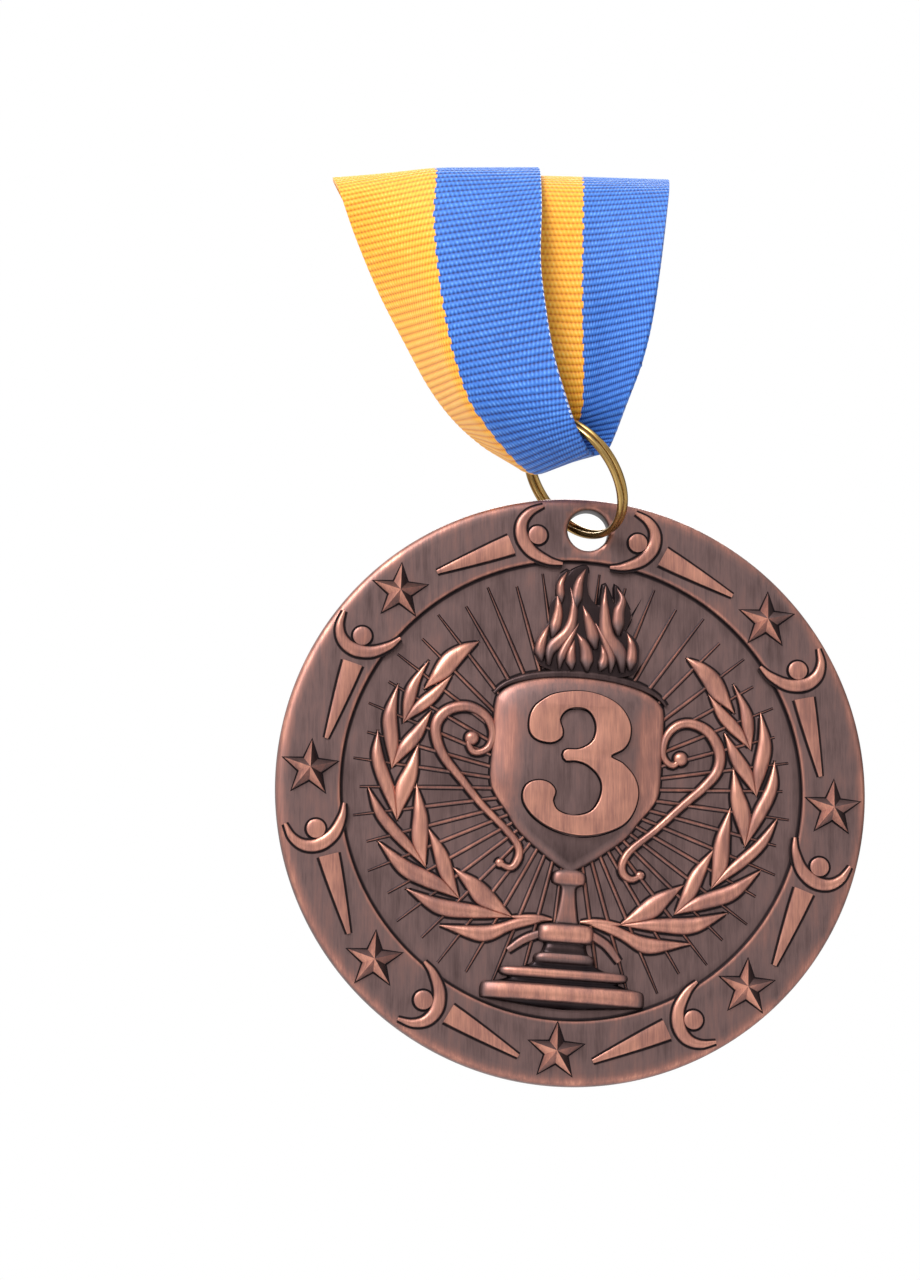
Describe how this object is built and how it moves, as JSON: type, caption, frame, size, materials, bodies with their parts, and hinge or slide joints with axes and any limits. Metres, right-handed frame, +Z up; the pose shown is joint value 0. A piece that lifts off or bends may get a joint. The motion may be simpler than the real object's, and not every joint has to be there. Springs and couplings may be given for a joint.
{
  "type": "finisher medal",
  "caption": "Round cast medal with a cup, numeral, wreath, stars and figures in relief, hung by a split ring on a ribbon whose spare length is rolled up.",
  "frame": {"origin": "centre of the hollow core of the rolled spare ribbon, where a hook or nail holds the medal up", "axes": "+Z up, from the disc to the roll; the medal's face looks along -Y; +X to the right seen from the front, along the hook"},
  "size_m": [0.065, 0.0285, 0.1044],
  "materials": {
    "medal": "antique copper plating, dark in the recesses and rubbed bright on the raised tops",
    "ring": "antique brass plated steel wire, bright",
    "ribbon": "woven grosgrain, one half blue and one half yellow",
    "thread": "white sewing thread",
    "tie": "white paper tape tie"
  },
  "bodies": {
    "ribbon": {"ribbon": "ribbon", "seam_thread": "thread", "roll_tie": "tie"},
    "ring": {"split_ring": "ring"},
    "medal": {"medal_disc": "medal"}
  },
  "joints": [
    {"name": "ring_swing", "type": "hinge", "parent": "ribbon", "child": "ring", "pos_m": [-0.0039, -0.0089, -0.02005], "axis": [0.383, -0.8979, 0.217], "range_deg": [-5, 12]},
    {"name": "medal_swing", "type": "hinge", "parent": "ring", "child": "medal", "pos_m": [0.00182, -0.005, -0.03106], "axis": [0, 1, 0], "range_deg": [-18, 18]}
  ]
}
